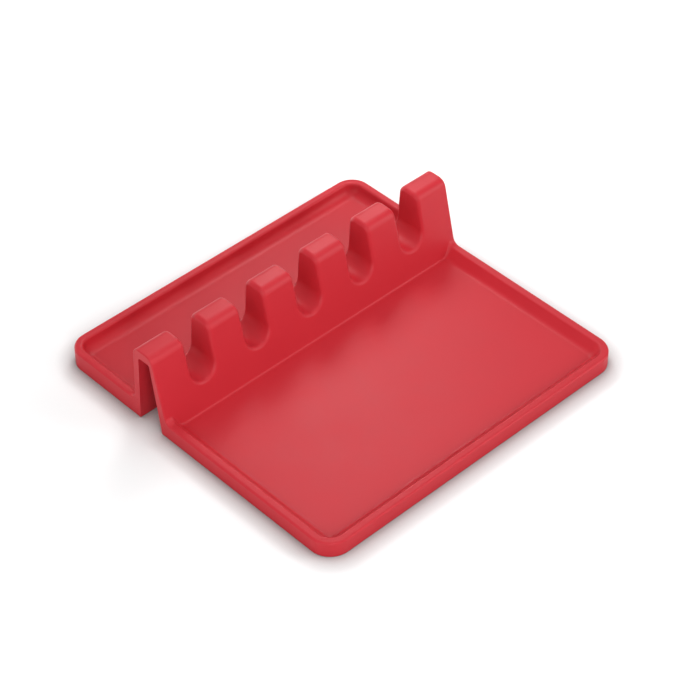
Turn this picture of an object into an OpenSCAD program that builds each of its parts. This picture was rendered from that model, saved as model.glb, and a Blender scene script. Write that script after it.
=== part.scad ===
// Spoon rest moulded in soft silicone: a wide drip tray in front, a narrow tray behind,
// and between them a hollow bridge whose row of notches holds the handles.
// The front tray faces -Y. The origin is on the table, under the middle of the outline.

/* [Outline] */
// Width along the bridge
width = 200; // [170:1:240]
// Depth of the front tray, from its outer edge to the foot of the bridge
front_tray_d = 113.8; // [90:0.2:140]
// Depth of the rear tray, from the foot of the bridge to its outer edge
rear_tray_d = 54; // [40:0.2:80]
// Plan radius of the front tray's outer corners
front_corner_r = 12; // [9:0.5:20]
// Plan radius of the rear tray's outer corners
rear_corner_r = 11; // [9:0.5:20]

/* [Trays] */
// Thickness of the tray floors
floor_t = 3.4; // [2.4:0.1:5]
// Height of the front tray's rim
front_rim_h = 8.8; // [7:0.1:12]
// Height of the rear tray's rim
rear_rim_h = 10.3; // [7:0.1:14]
// Width of the rim's crest
rim_w = 4.2; // [3:0.1:5]
// Run of the front rim's sloping inner side, from the crest to the floor
front_slope_run = 4.2; // [2:0.1:4.5]
// Run of the rear rim's sloping inner side, from the crest to the floor
rear_slope_run = 1.8; // [1:0.1:4.5]
// Radius between the front rim's slope and the floor, where there is room for it
front_cove_r = 4.5; // [1:0.1:6]
// Radius between the rear rim's slope and the floor, where there is room for it
rear_cove_r = 5.8; // [1:0.1:8]
// Radius along the rim's outer edge
rim_outer_r = 1.2; // [0.5:0.1:2]
// Radius along the rim's inner edge
rim_inner_r = 1.6; // [0.4:0.1:2]

/* [Bridge] */
// Height of the bridge
bridge_h = 46; // [38:0.5:56]
// Depth of the bridge across its two feet
bridge_foot_d = 26.2; // [24:0.2:36]
// Lean of the front wall away from upright, in degrees
front_lean = 13; // [8:0.5:15]
// Lean of the rear wall away from upright, in degrees
rear_lean = 2.8; // [0:0.2:4]
// Radius along the front edge of the post tops
post_front_r = 5.2; // [2:0.1:6]
// Radius along the rear edge of the post tops
post_rear_r = 4.5; // [1:0.1:6]
// Length of tray floor and rim moulded with each foot
foot_flange = 4; // [3:0.5:8]

/* [Bridge walls] */
// Thickness of the front wall at its foot
front_foot_t = 5.2; // [4:0.1:7]
// Thickness of the front wall at its top
front_top_t = 2.6; // [2:0.1:4]
// Thickness of the rear wall
rear_wall_t = 4.2; // [3:0.1:5]
// Thickness of the post tops
post_top_t = 5; // [3:0.1:6]
// Radius inside the hollow, along its top
hollow_r = 1.5; // [0.5:0.25:2.5]

/* [Notches] */
// Number of notches
notch_count = 5; // [2:1:5]
// Spacing of the notches
notch_pitch = 35.8; // [30:0.2:38]
// Width of a notch at its mouth
notch_mouth_w = 15.6; // [12:0.2:19]
// Radius of the round bottom of a notch
notch_r = 7.6; // [5:0.1:8.5]
// Height of the lowest line of a notch above the table
notch_floor_z = 18.5; // [14:0.5:24]
// Radius along both edges of a notch's mouth
notch_lip_r = 2; // [0.5:0.25:4]
// Thickness of the skin that lines a notch
notch_skin_t = 3; // [2:0.1:4]

/* [Hidden] */
$fn = 64;
arc_steps = 8;
silicone_red = [0.78, 0.16, 0.19];
cut_margin = 2;
cove_share = 0.9;

depth = front_tray_d + bridge_foot_d + rear_tray_d;
front_edge_y = -depth / 2;
rear_edge_y = depth / 2;
front_foot_y = front_edge_y + front_tray_d;
rear_foot_y = front_foot_y + bridge_foot_d;
front_seam_y = front_foot_y - foot_flange;
rear_seam_y = rear_foot_y + foot_flange;
hollow_h = bridge_h - post_top_t;
notch_centre_z = notch_floor_z + notch_r;

// Outer faces of the bridge at height z
function front_face_y(z) = front_foot_y + z * tan(front_lean);
function rear_face_y(z) = rear_foot_y - z * tan(rear_lean);

// Middle of a notch along the bridge
function notch_x(i) = (i - (notch_count - 1) / 2) * notch_pitch;

// Inner side of a rim: its steepness, and the radius that fits between it and the floor
function steepness(rim_h, run) = atan2(rim_h - floor_t, run);
function wall_room(rim_h, run) = norm([run, rim_h - floor_t]) - rim_inner_r * tan(steepness(rim_h, run) / 2);
function floor_room(run, corner_r) = corner_r - rim_w - run;
function cove_fit(rim_h, run, corner_r, cove_r) = min(cove_r,
    cove_share * min(wall_room(rim_h, run), floor_room(run, corner_r)) / tan(steepness(rim_h, run) / 2));
front_cove = cove_fit(front_rim_h, front_slope_run, front_corner_r, front_cove_r);
rear_cove = cove_fit(rear_rim_h, rear_slope_run, rear_corner_r, rear_cove_r);

// Corner of a rounded outline, as points along its arc
function unit(v) = v / norm(v);
function to_last(c, i) = unit(c[(i + len(c) - 1) % len(c)] - c[i]);
function to_next(c, i) = unit(c[(i + 1) % len(c)] - c[i]);
function half_angle(c, i) = acos(to_last(c, i) * to_next(c, i)) / 2;
function arc_centre(c, i, r) = c[i] + unit(to_last(c, i) + to_next(c, i)) * r / sin(half_angle(c, i));
function arc_start(c, i, r) = c[i] + to_last(c, i) * r / tan(half_angle(c, i)) - arc_centre(c, i, r);
function turned(v, a) = [v.x * cos(a) - v.y * sin(a), v.x * sin(a) + v.y * cos(a)];
function bend(c, i) = sign(cross(to_next(c, i), to_last(c, i))) * (180 - 2 * half_angle(c, i));
function soft_corner(c, i, r) = [for (k = [0:arc_steps])
    arc_centre(c, i, r) + turned(arc_start(c, i, r), bend(c, i) * k / arc_steps)];

// An outline, listed anticlockwise, with its corners rounded
module soft_outline(corners, radii) {
    polygon([for (i = [0:len(corners) - 1])
        each radii[i] > 0 ? soft_corner(corners, i, radii[i]) : [corners[i]]]);
}

// Rim and floor in section: the outer face is at x = 0 and the floor reaches inwards
module edge_section(rim_h, run, cove, reach) {
    soft_outline(
        [[0, 0], [reach, 0], [reach, floor_t], [rim_w + run, floor_t], [rim_w, rim_h], [0, rim_h]],
        [0, 0, 0, cove, rim_inner_r, rim_outer_r]);
}

// Floor between two side rims, straight along Y
module straight_run(rim_h, run, cove, from_y, to_y) {
    side = width / 2;
    crest = side - rim_w;
    slope_end = crest - run;
    translate([0, to_y, 0]) rotate([90, 0, 0]) linear_extrude(to_y - from_y) soft_outline(
        [[-side, 0], [side, 0], [side, rim_h], [crest, rim_h],
            [slope_end, floor_t], [-slope_end, floor_t], [-crest, rim_h], [-side, rim_h]],
        [0, 0, rim_outer_r, rim_inner_r, cove, cove, rim_inner_r, rim_outer_r]);
}

// Rounded tray corner on the left, turned about its own centre
module tray_corner(rim_h, run, cove, corner_r) {
    translate([-width / 2 + corner_r, corner_r, 0]) rotate([0, 0, 180]) rotate_extrude(angle = 90)
        translate([corner_r, 0]) mirror([1, 0]) edge_section(rim_h, run, cove, corner_r);
}

// A tray with its outer edge on y = 0, open towards +Y
module tray(rim_h, run, cove, corner_r, tray_d) {
    straight_run(rim_h, run, cove, corner_r, tray_d);
    tray_corner(rim_h, run, cove, corner_r);
    mirror([1, 0, 0]) tray_corner(rim_h, run, cove, corner_r);
    translate([-width / 2 + corner_r, 0, 0]) rotate([90, 0, 90])
        linear_extrude(width - 2 * corner_r) edge_section(rim_h, run, cove, corner_r);
}

// A shape drawn in Y and Z, drawn out along the bridge
module along_bridge(run) {
    translate([-run / 2, 0, 0]) rotate([90, 0, 90]) linear_extrude(run) children();
}

// A shape drawn in X and Z, drawn out across the bridge and a little past both feet
module across_bridge() {
    translate([0, rear_foot_y + cut_margin, 0]) rotate([90, 0, 0])
        linear_extrude(bridge_foot_d + 2 * cut_margin) children();
}

module bridge_outline() {
    soft_outline(
        [[front_foot_y, 0], [rear_foot_y, 0], [rear_face_y(bridge_h), bridge_h],
            [front_face_y(bridge_h), bridge_h]],
        [0, 0, post_rear_r, post_front_r]);
}

module hollow_outline() {
    soft_outline(
        [[front_foot_y + front_foot_t, -cut_margin], [rear_foot_y - rear_wall_t, -cut_margin],
            [rear_face_y(hollow_h) - rear_wall_t, hollow_h],
            [front_face_y(hollow_h) + front_top_t, hollow_h]],
        [0, 0, hollow_r, hollow_r]);
}

// A post seen from the front: its outer side is upright where it ends the row
module post_outline(i) {
    first = i == 0;
    last = i == notch_count;
    left_foot = first ? -width / 2 : notch_x(i - 1) + notch_r;
    left_top = first ? -width / 2 : notch_x(i - 1) + notch_mouth_w / 2;
    right_foot = last ? width / 2 : notch_x(i) - notch_r;
    right_top = last ? width / 2 : notch_x(i) - notch_mouth_w / 2;
    soft_outline(
        [[left_foot, notch_centre_z], [right_foot, notch_centre_z], [right_top, bridge_h], [left_top, bridge_h]],
        [0, 0, last ? 0 : notch_lip_r, first ? 0 : notch_lip_r]);
}

// The whole bridge seen from the front
module row_outline() {
    difference() {
        translate([-width / 2, 0]) square([width, notch_centre_z]);
        for (i = [0:notch_count - 1]) translate([notch_x(i), notch_centre_z]) circle(r = notch_r);
    }
    for (i = [0:notch_count]) post_outline(i);
}

// A notch with its skin, seen from the front
module lined_notch_outline() {
    half_floor = notch_r + notch_skin_t;
    half_mouth = notch_mouth_w / 2 + notch_skin_t;
    translate([0, notch_centre_z]) circle(r = half_floor);
    polygon([[-half_floor, notch_centre_z], [half_floor, notch_centre_z],
        [half_mouth, bridge_h], [-half_mouth, bridge_h]]);
}

// The open space under the bridge, which rises into every post
module hollow() {
    difference() {
        along_bridge(width + 2 * cut_margin) hollow_outline();
        for (i = [0:notch_count - 1]) translate([notch_x(i), 0, 0]) across_bridge() lined_notch_outline();
    }
}

module front_tray() {
    color(silicone_red) translate([0, front_edge_y, 0])
        tray(front_rim_h, front_slope_run, front_cove, front_corner_r, front_tray_d - foot_flange);
}

module rear_tray() {
    color(silicone_red) translate([0, rear_edge_y, 0]) rotate([0, 0, 180])
        tray(rear_rim_h, rear_slope_run, rear_cove, rear_corner_r, rear_tray_d - foot_flange);
}

// Walls, posts and notches, with the strip of tray at each foot
module utensil_bridge() {
    color(silicone_red) difference() {
        union() {
            intersection() {
                along_bridge(width) bridge_outline();
                across_bridge() row_outline();
            }
            straight_run(front_rim_h, front_slope_run, front_cove, front_seam_y,
                front_foot_y + front_foot_t / 2);
            straight_run(rear_rim_h, rear_slope_run, rear_cove,
                rear_foot_y - rear_wall_t / 2, rear_seam_y);
        }
        hollow();
    }
}

front_tray();
rear_tray();
utensil_bridge();
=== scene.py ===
from math import acos, atan2, cos, degrees, pi, radians, sin, tan

import bmesh
import bpy
from mathutils import Matrix, Quaternion, Vector


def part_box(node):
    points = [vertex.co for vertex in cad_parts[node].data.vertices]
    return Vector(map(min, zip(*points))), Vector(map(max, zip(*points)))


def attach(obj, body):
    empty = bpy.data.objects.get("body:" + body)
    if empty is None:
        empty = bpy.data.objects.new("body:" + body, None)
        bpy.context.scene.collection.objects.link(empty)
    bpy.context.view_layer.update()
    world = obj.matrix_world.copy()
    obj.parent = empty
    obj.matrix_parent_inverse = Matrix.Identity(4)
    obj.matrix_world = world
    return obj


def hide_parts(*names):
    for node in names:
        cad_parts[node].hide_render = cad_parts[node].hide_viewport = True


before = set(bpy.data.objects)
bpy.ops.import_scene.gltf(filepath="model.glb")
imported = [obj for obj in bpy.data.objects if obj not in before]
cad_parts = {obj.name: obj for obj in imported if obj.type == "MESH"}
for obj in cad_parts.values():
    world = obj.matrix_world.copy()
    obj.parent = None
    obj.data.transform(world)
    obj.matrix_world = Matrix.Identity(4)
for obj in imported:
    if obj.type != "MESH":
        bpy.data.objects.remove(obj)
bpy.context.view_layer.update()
mm = 0.001  # lengths below are in millimetres and go to metres when a mesh is made
print("frame loaded:", sorted(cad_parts))


# camera at the photograph's angle

cameraSetup = {
    "place": (-0.6090, -0.6486, 0.8244),
    "azimuth": -43.461,
    "elevation": 42.567,
    "roll": -0.149,
    "lens": 123.27,
    "sensor": 36,
    "clip": (0.05, 50),
}


def addCamera(setup):
    turn = radians(setup["azimuth"])
    rise = radians(setup["elevation"])
    roll = radians(setup["roll"])
    back = Vector((sin(turn) * cos(rise), -cos(turn) * cos(rise), sin(rise)))
    level = Vector((cos(turn), sin(turn), 0))
    upright = back.cross(level)
    right = level * cos(roll) + upright * sin(roll)
    up = upright * cos(roll) - level * sin(roll)
    data = bpy.data.cameras.new("photoCamera")
    data.lens = setup["lens"]
    data.sensor_width = setup["sensor"]
    data.clip_start, data.clip_end = setup["clip"]
    camera = bpy.data.objects.new("photoCamera", data)
    bpy.context.scene.collection.objects.link(camera)
    facing = Matrix((right, up, back)).transposed().to_4x4()
    camera.matrix_world = Matrix.Translation(setup["place"]) @ facing
    bpy.context.scene.camera = camera


addCamera(cameraSetup)
print("camera placed")


# outlines and meshes

shading = {"sharpAngle": 40, "flatWeight": 50}


def arcPoints(centre, radius, fromAngle, toAngle, steps):
    turns = [radians(fromAngle + (toAngle - fromAngle) * k / steps) for k in range(steps + 1)]
    return [(centre[0] + radius * cos(a), centre[1] + radius * sin(a)) for a in turns]


def softPath(corners, radii, steps):  # a line through the corners, each rounded by its radius
    points = [corners[0]]
    for last, here, following, radius in zip(corners, corners[1:], corners[2:], radii):
        toLast = Vector(last) - Vector(here)
        toNext = Vector(following) - Vector(here)
        toLast.normalize()
        toNext.normalize()
        half = acos(max(-1, min(1, toLast.dot(toNext)))) / 2
        centre = Vector(here) + (toLast + toNext).normalized() * radius / sin(half)
        start = Vector(here) + toLast * radius / tan(half) - centre
        end = Vector(here) + toNext * radius / tan(half) - centre
        first = degrees(atan2(start.y, start.x))
        sweep = (degrees(atan2(end.y, end.x)) - first + 180) % 360 - 180
        points += arcPoints(centre, radius, first, first + sweep, steps)
    return points + [corners[-1]]


def addPoint(bm, x, y, z):
    return bm.verts.new((x * mm, y * mm, z * mm))


def addGrid(bm, rows):
    for here, following in zip(rows, rows[1:]):
        for a, b, c, d in zip(here, here[1:], following[1:], following):
            bm.faces.new((a, b, c, d))


def finishPiece(bm, name):
    bmesh.ops.recalc_face_normals(bm, faces=bm.faces)
    loose = sum(1 for edge in bm.edges if not edge.is_manifold)
    for face in bm.faces:
        face.smooth = True
    for edge in bm.edges:
        edge.smooth = not edge.is_manifold or edge.calc_face_angle() < radians(shading["sharpAngle"])
    mesh = bpy.data.meshes.new(name)
    bm.to_mesh(mesh)
    bm.free()
    piece = bpy.data.objects.new(name, mesh)
    bpy.context.scene.collection.objects.link(piece)
    bpy.context.view_layer.objects.active = piece
    # keeps the flats flat beside the fillets
    even = piece.modifiers.new("evenShading", "WEIGHTED_NORMAL")
    even.mode = "FACE_AREA"
    even.weight = shading["flatWeight"]
    even.keep_sharp = True
    bpy.ops.object.modifier_apply(modifier=even.name)
    print(name, "made:", len(mesh.polygons), "faces,", loose, "open edges")
    return piece


def nodeBox(node):
    low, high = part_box(node)
    return [v / mm for v in low], [v / mm for v in high]


frontLow, frontHigh = nodeBox("front_tray")
rearLow, rearHigh = nodeBox("rear_tray")
bridgeLow, bridgeHigh = nodeBox("utensil_bridge")
halfWidth = bridgeHigh[0]
frontSeam = frontHigh[1]  # the trays meet the bridge on these two planes
rearSeam = rearLow[1]


# rims and trays

rim = {
    "crest": 4.2,
    "floor": 3.4,
    "outerRound": 1.2,
    "innerRound": 1.6,
    "steps": 8,
}
frontTray = {"height": frontHigh[2], "corner": 12.0, "slopeRun": 4.2, "cove": 4.5, "cornerSteps": 18}
rearTray = {"height": rearHigh[2], "corner": 11.0, "slopeRun": 1.8, "cove": 5.8, "cornerSteps": 18}


def rimSection(tray):  # inset and height, from the outer foot over the crest down to the floor
    slopeEnd = rim["crest"] + tray["slopeRun"]
    corners = [
        (0, 0),
        (0, tray["height"]),
        (rim["crest"], tray["height"]),
        (slopeEnd, rim["floor"]),
        (halfWidth, rim["floor"]),
    ]
    return softPath(corners, [rim["outerRound"], rim["innerRound"], tray["cove"]], rim["steps"])[:-1]


def makeTray(name, tray, outerEdge, seam):
    bm = bmesh.new()
    section = rimSection(tray)
    outward = 1 if outerEdge > seam else -1
    corner = tray["corner"]
    centreX = halfWidth - corner
    centreY = outerEdge - outward * corner
    stations = [(-halfWidth, seam, 1, 0)]  # places along the edge, and the way in from each
    for side, turns in ((-1, (0, 90)), (1, (90, 0))):
        for c, s in arcPoints((0, 0), 1, turns[0], turns[1], tray["cornerSteps"]):
            x = side * (centreX + corner * c)
            y = centreY + outward * corner * s
            stations.append((x, y, -side * c, -outward * s))
    stations.append((halfWidth, seam, -1, 0))
    rows = [[addPoint(bm, x + inX * inset, y + inY * inset, z) for inset, z in section]
            for x, y, inX, inY in stations]
    addGrid(bm, rows)
    bm.faces.new([row[-1] for row in rows])  # floor
    bm.faces.new([row[0] for row in rows])  # underside
    bm.faces.new(rows[0] + rows[-1][::-1])  # face on the seam
    return finishPiece(bm, name)


frontPiece = makeTray("frontTray", frontTray, frontLow[1], frontSeam)
rearPiece = makeTray("rearTray", rearTray, rearHigh[1], rearSeam)


# bridge with its row of notches

bridge = {
    "top": bridgeHigh[2],
    "frontFoot": frontSeam + 4.0,
    "rearFoot": rearSeam - 4.0,
    "frontLean": 13.0,
    "rearLean": 2.8,
    "frontRound": 5.2,
    "rearRound": 4.5,
    "rimJoinRound": 4.0,
    "floorJoinRound": 1.2,
    "endRoundShare": 0.55,  # end edges of the walls against the rim's outer round
    "edgeRound": 1.8,
    "lipRound": 2.4,
    "joinSteps": 6,
    "roundSteps": 8,
}
notches = {
    "count": 5,
    "pitch": 35.8,
    "mouth": 15.6,
    "radius": 7.6,
    "floor": 18.5,
    "skin": 3.0,
    "wallShares": (0.35, 0.7),  # rows on a notch wall between the bowl and the crown
    "steps": 28,
    "edgeSteps": 5,
}
hollow = {
    "frontFoot": (bridge["frontFoot"] + 5.2, -2.0),
    "rearFoot": (bridge["rearFoot"] - 4.2, -2.0),
    "top": bridge["top"] - 5.0,
    "frontTopWall": 2.6,
    "rearTopWall": 4.2,
    "round": 1.5,
    "edgeRound": 0.6,
}


def ridgeShape(frontFoot, frontSlope, rearFoot, rearSlope, top,
               frontRound, rearRound, grow, edgeRound, lipRound):
    return {
        "frontY": lambda z: frontFoot + z * frontSlope,
        "rearY": lambda z: rearFoot + z * rearSlope,
        "frontTurn": degrees(atan2(frontSlope, 1)),
        "rearTurn": degrees(atan2(-rearSlope, 1)),
        "top": top,
        "frontRound": frontRound,
        "rearRound": rearRound,
        "grow": grow,
        "edgeRound": edgeRound,
        "lipRound": lipRound,
    }


# over the top, from the front face to the rear face: y, z and the outward direction
def crownPoints(shape):
    points = []
    frontTurn, rearTurn = shape["frontTurn"], shape["rearTurn"]
    r = shape["frontRound"]
    z = shape["top"] - r
    y = shape["frontY"](z) + r / cos(radians(frontTurn))
    for c, s in arcPoints((0, 0), 1, 180 - frontTurn, 90, bridge["roundSteps"]):
        points.append((y + r * c, z + r * s, c, s))
    r = shape["rearRound"]
    z = shape["top"] - r
    y = shape["rearY"](z) - r / cos(radians(rearTurn))
    for c, s in arcPoints((0, 0), 1, 90, rearTurn, bridge["roundSteps"]):
        points.append((y + r * c, z + r * s, c, s))
    return points


def roundedEdge(bm, fromPoint, corner, toPoint):  # a true arc where both legs are equal
    a, b, c = Vector(fromPoint), Vector(corner), Vector(toPoint)
    weight = cos((b - a).angle(c - b) / 2)
    row = []
    for k in range(notches["edgeSteps"] + 1):
        t = k / notches["edgeSteps"]
        parts = ((1 - t) ** 2, 2 * weight * t * (1 - t), t * t)
        p = (a * parts[0] + b * parts[1] + c * parts[2]) / sum(parts)
        row.append(addPoint(bm, p.x, p.y, p.z))
    return row


def addNotch(bm, shape, crown, middle):
    radius = notches["radius"] + shape["grow"]
    level = notches["floor"] + notches["radius"]
    spread = (notches["mouth"] / 2 - notches["radius"]) / (bridge["top"] - level)
    frontY, rearY = shape["frontY"], shape["rearY"]

    def half(z):
        return radius + spread * (z - level)

    def edgeAt(z):  # the edge softens towards the mouth
        share = max(0, min(1, (z - level) / (shape["top"] - level)))
        return shape["edgeRound"] + (shape["lipRound"] - shape["edgeRound"]) * share ** 2

    def wallRow(side, y, z, outY, outZ):
        r = edgeAt(z)
        inner = (y - outY * r, z - outZ * r)
        return roundedEdge(bm,
                           (middle + side * (half(z) + r), y, z),
                           (middle + side * half(z), y, z),
                           (middle + side * half(inner[1]), inner[0], inner[1]))

    def bowlRow(angle, faceY, inward):
        c, s = cos(angle), sin(angle)
        r = shape["edgeRound"]
        z = level + radius * s
        outerZ = level + (radius + r) * s
        return roundedEdge(bm,
                           (middle + (radius + r) * c, faceY(outerZ), outerZ),
                           (middle + radius * c, faceY(z), z),
                           (middle + radius * c, faceY(z) + inward * r, z))

    def wall(side):
        frontTurn, rearTurn = radians(shape["frontTurn"]), radians(shape["rearTurn"])
        angle = pi if side < 0 else 2 * pi
        frontTop, rearTop = crown[0][1], crown[-1][1]
        rows = [bowlRow(angle, frontY, 1)]
        for share in notches["wallShares"]:
            z = level + (frontTop - level) * share
            rows.append(wallRow(side, frontY(z), z, -cos(frontTurn), sin(frontTurn)))
        rows += [wallRow(side, *point) for point in crown]
        for share in notches["wallShares"][::-1]:
            z = level + (rearTop - level) * share
            rows.append(wallRow(side, rearY(z), z, cos(rearTurn), sin(rearTurn)))
        rows.append(bowlRow(angle, rearY, -1))
        return rows

    angles = [pi + pi * k / notches["steps"] for k in range(1, notches["steps"])]
    left, right = wall(-1), wall(1)
    frontBowl = [bowlRow(angle, frontY, 1) for angle in angles]
    rearBowl = [bowlRow(angle, rearY, -1) for angle in angles]
    addGrid(bm, left + rearBowl + right[::-1] + frontBowl[::-1] + left[:1])
    bm.faces.new([row[-1] for row in left])
    bm.faces.new([row[-1] for row in right])
    fronts = left[:1] + frontBowl + right[:1]
    rears = left[-1:] + rearBowl + right[-1:]
    addGrid(bm, [(a[-1], b[-1]) for a, b in zip(fronts, rears)])
    below = len(notches["wallShares"]) + 1  # rows under the crown at each end of a wall
    return {
        "leftTop": [row[0] for row in left[below:-below]],
        "rightTop": [row[0] for row in right[below:-below]],
        "frontEdge": [row[0] for row in left[below::-1] + frontBowl + right[:below + 1]],
        "rearEdge": [row[0] for row in left[-below - 1:] + rearBowl + right[:-below - 2:-1]],
    }


def addRidge(bm, shape, crown, leftEnd, rightEnd, frontFoot, rearFoot):
    first = -(notches["count"] - 1) / 2 * notches["pitch"]
    cuts = [addNotch(bm, shape, crown, first + i * notches["pitch"]) for i in range(notches["count"])]
    lefts = [leftEnd] + [cut["rightTop"] for cut in cuts]
    rights = [cut["leftTop"] for cut in cuts] + [rightEnd]
    for left, right in zip(lefts, rights):
        addGrid(bm, [left, right])  # top of a post
    frontLine = [leftEnd[0]] + [v for cut in cuts for v in cut["frontEdge"]] + [rightEnd[0]]
    rearLine = [leftEnd[-1]] + [v for cut in cuts for v in cut["rearEdge"]] + [rightEnd[-1]]
    bm.faces.new(frontLine + frontFoot[::-1])
    bm.faces.new(rearLine + rearFoot[::-1])


def makeBridge():
    bm = bmesh.new()
    frontSlope, rearSlope = tan(radians(bridge["frontLean"])), -tan(radians(bridge["rearLean"]))
    outer = ridgeShape(bridge["frontFoot"], frontSlope, bridge["rearFoot"], rearSlope, bridge["top"],
                       bridge["frontRound"], bridge["rearRound"], 0,
                       bridge["edgeRound"], bridge["lipRound"])
    crown = crownPoints(outer)
    floor = rim["floor"]

    def joinRow(height, tray, faceY, lean, side):  # a foot in section, from the seam to the wall
        share = (height - floor) / (tray["height"] - floor)
        r = bridge["floorJoinRound"] + (bridge["rimJoinRound"] - bridge["floorJoinRound"]) * share
        y = faceY(height + r) - side * r / cos(radians(lean))
        arc = arcPoints((0, 0), 1, -90, -lean, bridge["joinSteps"])
        seam = frontSeam if side > 0 else rearSeam
        curve = [(y + side * r * c, height + r + r * s, -side * c, -s) for c, s in arc]
        return [(seam, height, 0, 1)] + curve

    frontSection, rearSection = rimSection(frontTray), rimSection(rearTray)
    frontJoin = joinRow(frontTray["height"], frontTray, outer["frontY"], bridge["frontLean"], 1)
    rearJoin = joinRow(rearTray["height"], rearTray, outer["rearY"], bridge["rearLean"], -1)
    outline = frontJoin + crown + rearJoin[::-1]
    feet = len(frontJoin)
    share = bridge["endRoundShare"]
    fade = [1 - (1 - share) * max(0, k - 1) / bridge["joinSteps"] for k in range(feet)]
    fades = fade + [share] * len(crown) + fade[::-1]

    def endRows(side):  # the end edge is rounded like the rim's outer edge, and tighter on the walls
        rows = []
        for inset, z in frontSection[1:rim["steps"] + 2]:
            drop = frontTray["height"] - z
            row = []
            for (y, h, outY, outZ), f in zip(outline, fades):
                x = side * (halfWidth - inset * f)
                row.append(addPoint(bm, x, y - outY * drop * f, h - outZ * drop * f))
            rows.append(row)
        return rows

    leftRows, rightRows = endRows(-1), endRows(1)
    addGrid(bm, leftRows)
    addGrid(bm, rightRows)
    leftEnd, rightEnd = leftRows[-1], rightRows[-1]

    def footRows(section, tray, faceY, lean, side, left, right):
        def footRow(x, height):
            return [addPoint(bm, x, y, z) for y, z, _, _ in joinRow(height, tray, faceY, lean, side)]

        heights = section[rim["steps"] + 2:]
        lefts = [footRow(inset - halfWidth, height) for inset, height in heights]
        rights = [footRow(halfWidth - inset, height) for inset, height in heights]
        rows = [left] + lefts + rights[::-1] + [right]
        addGrid(bm, rows)
        return rows

    frontRows = footRows(frontSection, frontTray, outer["frontY"], bridge["frontLean"], 1,
                         leftEnd[:feet], rightEnd[:feet])
    rearRows = footRows(rearSection, rearTray, outer["rearY"], bridge["rearLean"], -1,
                        leftEnd[:-feet - 1:-1], rightEnd[:-feet - 1:-1])
    addRidge(bm, outer, crown, leftEnd[feet:-feet], rightEnd[feet:-feet],
             [row[-1] for row in frontRows], [row[-1] for row in rearRows])

    frontY, frontZ = hollow["frontFoot"]
    rearY, rearZ = hollow["rearFoot"]
    rise = hollow["top"] - frontZ
    innerFrontSlope = (outer["frontY"](hollow["top"]) + hollow["frontTopWall"] - frontY) / rise
    innerRearSlope = (outer["rearY"](hollow["top"]) - hollow["rearTopWall"] - rearY) / rise
    innerFrontFoot = frontY - frontZ * innerFrontSlope
    innerRearFoot = rearY - rearZ * innerRearSlope
    inner = ridgeShape(innerFrontFoot, innerFrontSlope, innerRearFoot, innerRearSlope, hollow["top"],
                       hollow["round"], hollow["round"], notches["skin"],
                       hollow["edgeRound"], hollow["edgeRound"])
    innerCrown = crownPoints(inner)

    def innerEnd(side):
        points = [(y, z) for y, z, _, _ in innerCrown]
        points = [(inner["frontY"](0), 0)] + points + [(inner["rearY"](0), 0)]
        return [addPoint(bm, side * halfWidth, y, z) for y, z in points]

    innerLeft, innerRight = innerEnd(-1), innerEnd(1)
    addRidge(bm, inner, innerCrown, innerLeft[1:-1], innerRight[1:-1],
             [innerLeft[0], innerRight[0]], [innerLeft[-1], innerRight[-1]])

    corners = {}
    for side in (-1, 1):
        corners[side] = [addPoint(bm, side * halfWidth, y, 0) for y in (frontSeam, rearSeam)]
    for side, rows, inside in ((-1, leftRows, innerLeft), (1, rightRows, innerRight)):
        bm.faces.new([corners[side][0]] + rows[0] + [corners[side][1]] + inside[::-1])  # end face
    # the faces on the two seams, and the undersides of the two feet
    leftSeams = [row[0] for row in leftRows]
    rightSeams = [row[0] for row in rightRows]
    bm.faces.new([corners[-1][0]] + leftSeams + [row[0] for row in frontRows[1:-1]]
                 + rightSeams[::-1] + [corners[1][0]])
    leftSeams = [row[-1] for row in leftRows]
    rightSeams = [row[-1] for row in rightRows]
    bm.faces.new([corners[-1][1]] + leftSeams + [row[0] for row in rearRows[1:-1]]
                 + rightSeams[::-1] + [corners[1][1]])
    bm.faces.new((corners[-1][0], corners[1][0], innerRight[0], innerLeft[0]))
    bm.faces.new((corners[-1][1], corners[1][1], innerRight[-1], innerLeft[-1]))
    return finishPiece(bm, "utensilBridge")


bridgePiece = makeBridge()


# satin moulded silicone

silicone = {
    "deepRed": (0.535, 0.0210, 0.0320),
    "paleRed": (0.560, 0.0235, 0.0350),
    "roughness": (0.43, 0.48),
    "specular": 0.26,
    "grainSize": 0.35,
    "grainDepth": 0.012,
    "grainDetail": 2,
    "bumpStrength": 0.25,
    "softSize": 14.0,
    "softDetail": 4,
    "softSpan": (0.3, 0.7),  # part of the drift that the roughness follows
}


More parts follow.
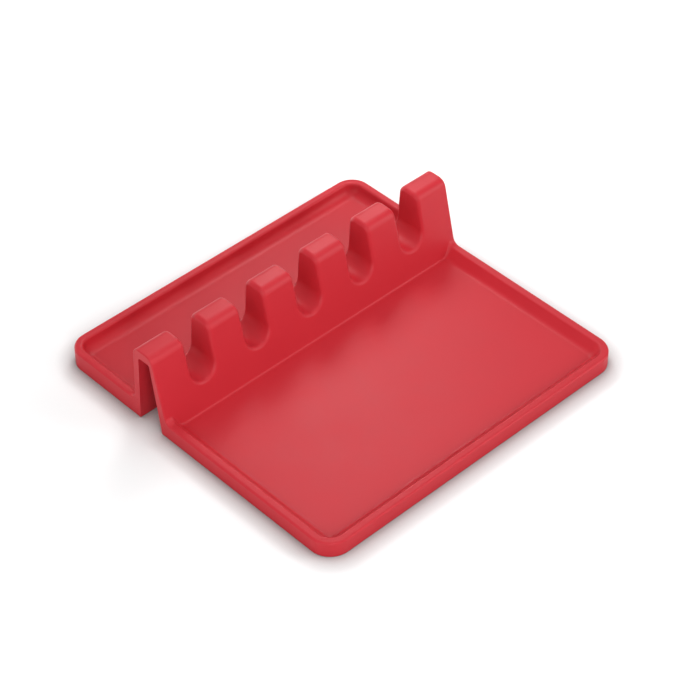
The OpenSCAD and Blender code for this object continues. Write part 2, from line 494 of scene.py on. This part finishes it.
def makeSilicone(look):
    material = bpy.data.materials.new("satinSilicone")
    material.use_nodes = True
    nodes, links = material.node_tree.nodes, material.node_tree.links
    shader = nodes["Principled BSDF"]
    place = nodes.new("ShaderNodeTexCoord")

    clouds = nodes.new("ShaderNodeTexNoise")  # slow drift of pigment and gloss over the moulding
    clouds.inputs["Scale"].default_value = 1 / (look["softSize"] * mm)
    clouds.inputs["Detail"].default_value = look["softDetail"]
    links.new(place.outputs["Object"], clouds.inputs["Vector"])
    tint = nodes.new("ShaderNodeMix")
    tint.data_type = "RGBA"
    tint.inputs["A"].default_value = (*look["deepRed"], 1)
    tint.inputs["B"].default_value = (*look["paleRed"], 1)
    links.new(clouds.outputs["Fac"], tint.inputs["Factor"])
    links.new(tint.outputs["Result"], shader.inputs["Base Color"])

    grain = nodes.new("ShaderNodeTexNoise")  # fine bloom left by the blasted mould
    grain.inputs["Scale"].default_value = 1 / (look["grainSize"] * mm)
    grain.inputs["Detail"].default_value = look["grainDetail"]
    links.new(place.outputs["Object"], grain.inputs["Vector"])
    gloss = nodes.new("ShaderNodeMapRange")
    gloss.inputs["From Min"].default_value, gloss.inputs["From Max"].default_value = look["softSpan"]
    gloss.inputs["To Min"].default_value, gloss.inputs["To Max"].default_value = look["roughness"]
    links.new(clouds.outputs["Fac"], gloss.inputs["Value"])
    links.new(gloss.outputs["Result"], shader.inputs["Roughness"])
    bump = nodes.new("ShaderNodeBump")
    bump.inputs["Strength"].default_value = look["bumpStrength"]
    bump.inputs["Distance"].default_value = look["grainDepth"] * mm
    links.new(grain.outputs["Fac"], bump.inputs["Height"])
    links.new(bump.outputs["Normal"], shader.inputs["Normal"])

    shader.inputs["Specular IOR Level"].default_value = look["specular"]
    return material


siliconeLook = makeSilicone(silicone)
dressed = [(frontPiece, "front_tray"), (rearPiece, "rear_tray"), (bridgePiece, "utensil_bridge")]
for piece, node in dressed:
    piece.data.materials.append(siliconeLook)
    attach(piece, "root")
    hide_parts(node)
print("silicone set on three pieces")


# pale floor with a painted contact shadow, and soft light

studio = {
    "floorSize": 6.0,
    "floorDrop": 0.0002,
    "floorGrey": 0.85,
    "floorSeen": 1.0,
    "farFloor": (0.13, 0.36),  # from here to here the floor turns plain white
    "horizon": (0.12, 0.30),  # white below this, and the dim ceiling above it
    "ceiling": 0.12,
    "paintedShadowReach": 0.012,  # the painted shadow darkens the floor's colour within this distance of the rest
    "paintedShadowDepth": 1.25,
    "paintedShadowSamples": 8,
    "aim": (0, -0.03, 0),
}
lamps = [  # turn runs from +X towards +Y, rise up from the table
    {"name": "mainBox", "turn": 42, "rise": 50, "distance": 0.8, "size": 0.6, "power": 1.22},
    {"name": "overhead", "turn": 60, "rise": 86, "distance": 0.9, "size": 0.6, "power": 1.65},
    {"name": "frontTop", "turn": -78, "rise": 62, "distance": 0.9, "size": 0.5, "power": 0.8},
    {"name": "lowBack", "turn": 100, "rise": 18, "distance": 1.0, "size": 0.7, "power": 2.6},
    {"name": "cameraSide", "turn": -126, "rise": 29, "distance": 1.0, "size": 0.5, "power": 3.5},
    {"name": "lowLeft", "turn": -172, "rise": 22, "distance": 1.0, "size": 0.7, "power": 2.9},
    {"name": "lowFront", "turn": -48, "rise": 24, "distance": 1.0, "size": 0.55, "power": 4.0},
    {"name": "strip", "turn": 48, "rise": 43.5, "distance": 0.33, "size": 0.16, "power": 0.25,
     "narrow": 0.08, "twist": 23, "aim": (-0.01, -0.006, 0.003)},
]


def seenDirectly(nodes, links):  # camera, glossy and glass rays see the white surroundings
    path = nodes.new("ShaderNodeLightPath")
    total = None
    for name in ("Is Camera Ray", "Is Glossy Ray", "Is Transmission Ray"):
        if total is None:
            total = path.outputs[name]
            continue
        add = nodes.new("ShaderNodeMath")
        add.operation = "MAXIMUM"
        links.new(total, add.inputs[0])
        links.new(path.outputs[name], add.inputs[1])
        total = add.outputs[0]
    return total


def makeFloor():
    bm = bmesh.new()
    bmesh.ops.create_grid(bm, x_segments=1, y_segments=1, size=studio["floorSize"])
    mesh = bpy.data.meshes.new("tableFloor")
    bm.to_mesh(mesh)
    bm.free()
    floor = bpy.data.objects.new("tableFloor", mesh)
    floor.location.z = -studio["floorDrop"]
    bpy.context.scene.collection.objects.link(floor)
    material = bpy.data.materials.new("paleFloor")
    material.use_nodes = True
    nodes, links = material.node_tree.nodes, material.node_tree.links
    nodes.remove(nodes["Principled BSDF"])
    shader = nodes.new("ShaderNodeBsdfDiffuse")
    seen = seenDirectly(nodes, links)
    paint = nodes.new("ShaderNodeMix")  # bright where it is looked at, and pale grey as a reflector
    paint.data_type = "RGBA"
    paint.inputs["A"].default_value = (studio["floorGrey"],) * 3 + (1,)
    paint.inputs["B"].default_value = (studio["floorSeen"],) * 3 + (1,)
    links.new(seen, paint.inputs["Factor"])
    # painted shadow: ambient occlusion darkens the floor's own colour next to the silicone, on top of
    # the shadow the lamps cast
    paintedShadow = nodes.new("ShaderNodeAmbientOcclusion")
    paintedShadow.samples = studio["paintedShadowSamples"]
    paintedShadow.inputs["Distance"].default_value = studio["paintedShadowReach"]
    paintedShadowPower = nodes.new("ShaderNodeMath")
    paintedShadowPower.operation = "POWER"
    paintedShadowPower.inputs[1].default_value = studio["paintedShadowDepth"]
    links.new(paintedShadow.outputs["AO"], paintedShadowPower.inputs[0])
    shaded = nodes.new("ShaderNodeVectorMath")
    shaded.operation = "SCALE"
    links.new(paint.outputs["Result"], shaded.inputs[0])
    links.new(paintedShadowPower.outputs[0], shaded.inputs["Scale"])
    links.new(shaded.outputs["Vector"], shader.inputs["Color"])
    place = nodes.new("ShaderNodeTexCoord")
    reach = nodes.new("ShaderNodeVectorMath")
    reach.operation = "LENGTH"
    links.new(place.outputs["Object"], reach.inputs[0])
    far = nodes.new("ShaderNodeMapRange")
    far.interpolation_type = "SMOOTHSTEP"
    far.inputs["From Min"].default_value, far.inputs["From Max"].default_value = studio["farFloor"]
    links.new(reach.outputs["Value"], far.inputs["Value"])
    lift = nodes.new("ShaderNodeMath")
    lift.operation = "MULTIPLY"
    links.new(far.outputs["Result"], lift.inputs[0])
    links.new(seen, lift.inputs[1])
    glow = nodes.new("ShaderNodeEmission")
    links.new(lift.outputs[0], glow.inputs["Strength"])
    both = nodes.new("ShaderNodeAddShader")
    links.new(shader.outputs[0], both.inputs[0])
    links.new(glow.outputs[0], both.inputs[1])
    links.new(both.outputs[0], nodes["Material Output"].inputs["Surface"])
    mesh.materials.append(material)


def makeLight():
    world = bpy.data.worlds.new("softDome")
    bpy.context.scene.world = world
    world.use_nodes = True
    nodes, links = world.node_tree.nodes, world.node_tree.links
    background = nodes["Background"]
    background.inputs["Color"].default_value = (1, 1, 1, 1)
    place = nodes.new("ShaderNodeTexCoord")
    split = nodes.new("ShaderNodeSeparateXYZ")
    links.new(place.outputs["Generated"], split.inputs[0])
    low = nodes.new("ShaderNodeMapRange")  # white round the horizon, dim overhead
    low.inputs["From Min"].default_value, low.inputs["From Max"].default_value = studio["horizon"]
    low.inputs["To Min"].default_value = 1
    low.inputs["To Max"].default_value = studio["ceiling"]
    links.new(split.outputs["Z"], low.inputs["Value"])
    level = nodes.new("ShaderNodeMix")
    level.inputs["A"].default_value = studio["ceiling"]
    links.new(seenDirectly(nodes, links), level.inputs["Factor"])
    links.new(low.outputs["Result"], level.inputs["B"])
    links.new(level.outputs["Result"], background.inputs["Strength"])
    for lamp in lamps:
        turn, rise = radians(lamp["turn"]), radians(lamp["rise"])
        way = Vector((cos(turn) * cos(rise), sin(turn) * cos(rise), sin(rise)))
        data = bpy.data.lights.new(lamp["name"], "AREA")
        data.shape = "ELLIPSE"
        data.size = lamp["size"]
        data.size_y = lamp.get("narrow", lamp["size"])
        data.energy = lamp["power"]
        light = bpy.data.objects.new(lamp["name"], data)
        light.location = Vector(lamp.get("aim", studio["aim"])) + way * lamp["distance"]
        twist = Quaternion((0, 0, 1), radians(lamp.get("twist", 0)))
        light.rotation_euler = ((-way).to_track_quat("-Z", "Y") @ twist).to_euler()
        bpy.context.scene.collection.objects.link(light)


makeFloor()
makeLight()
bpy.context.scene.view_settings.view_transform = "Standard"
print("floor and light ready")
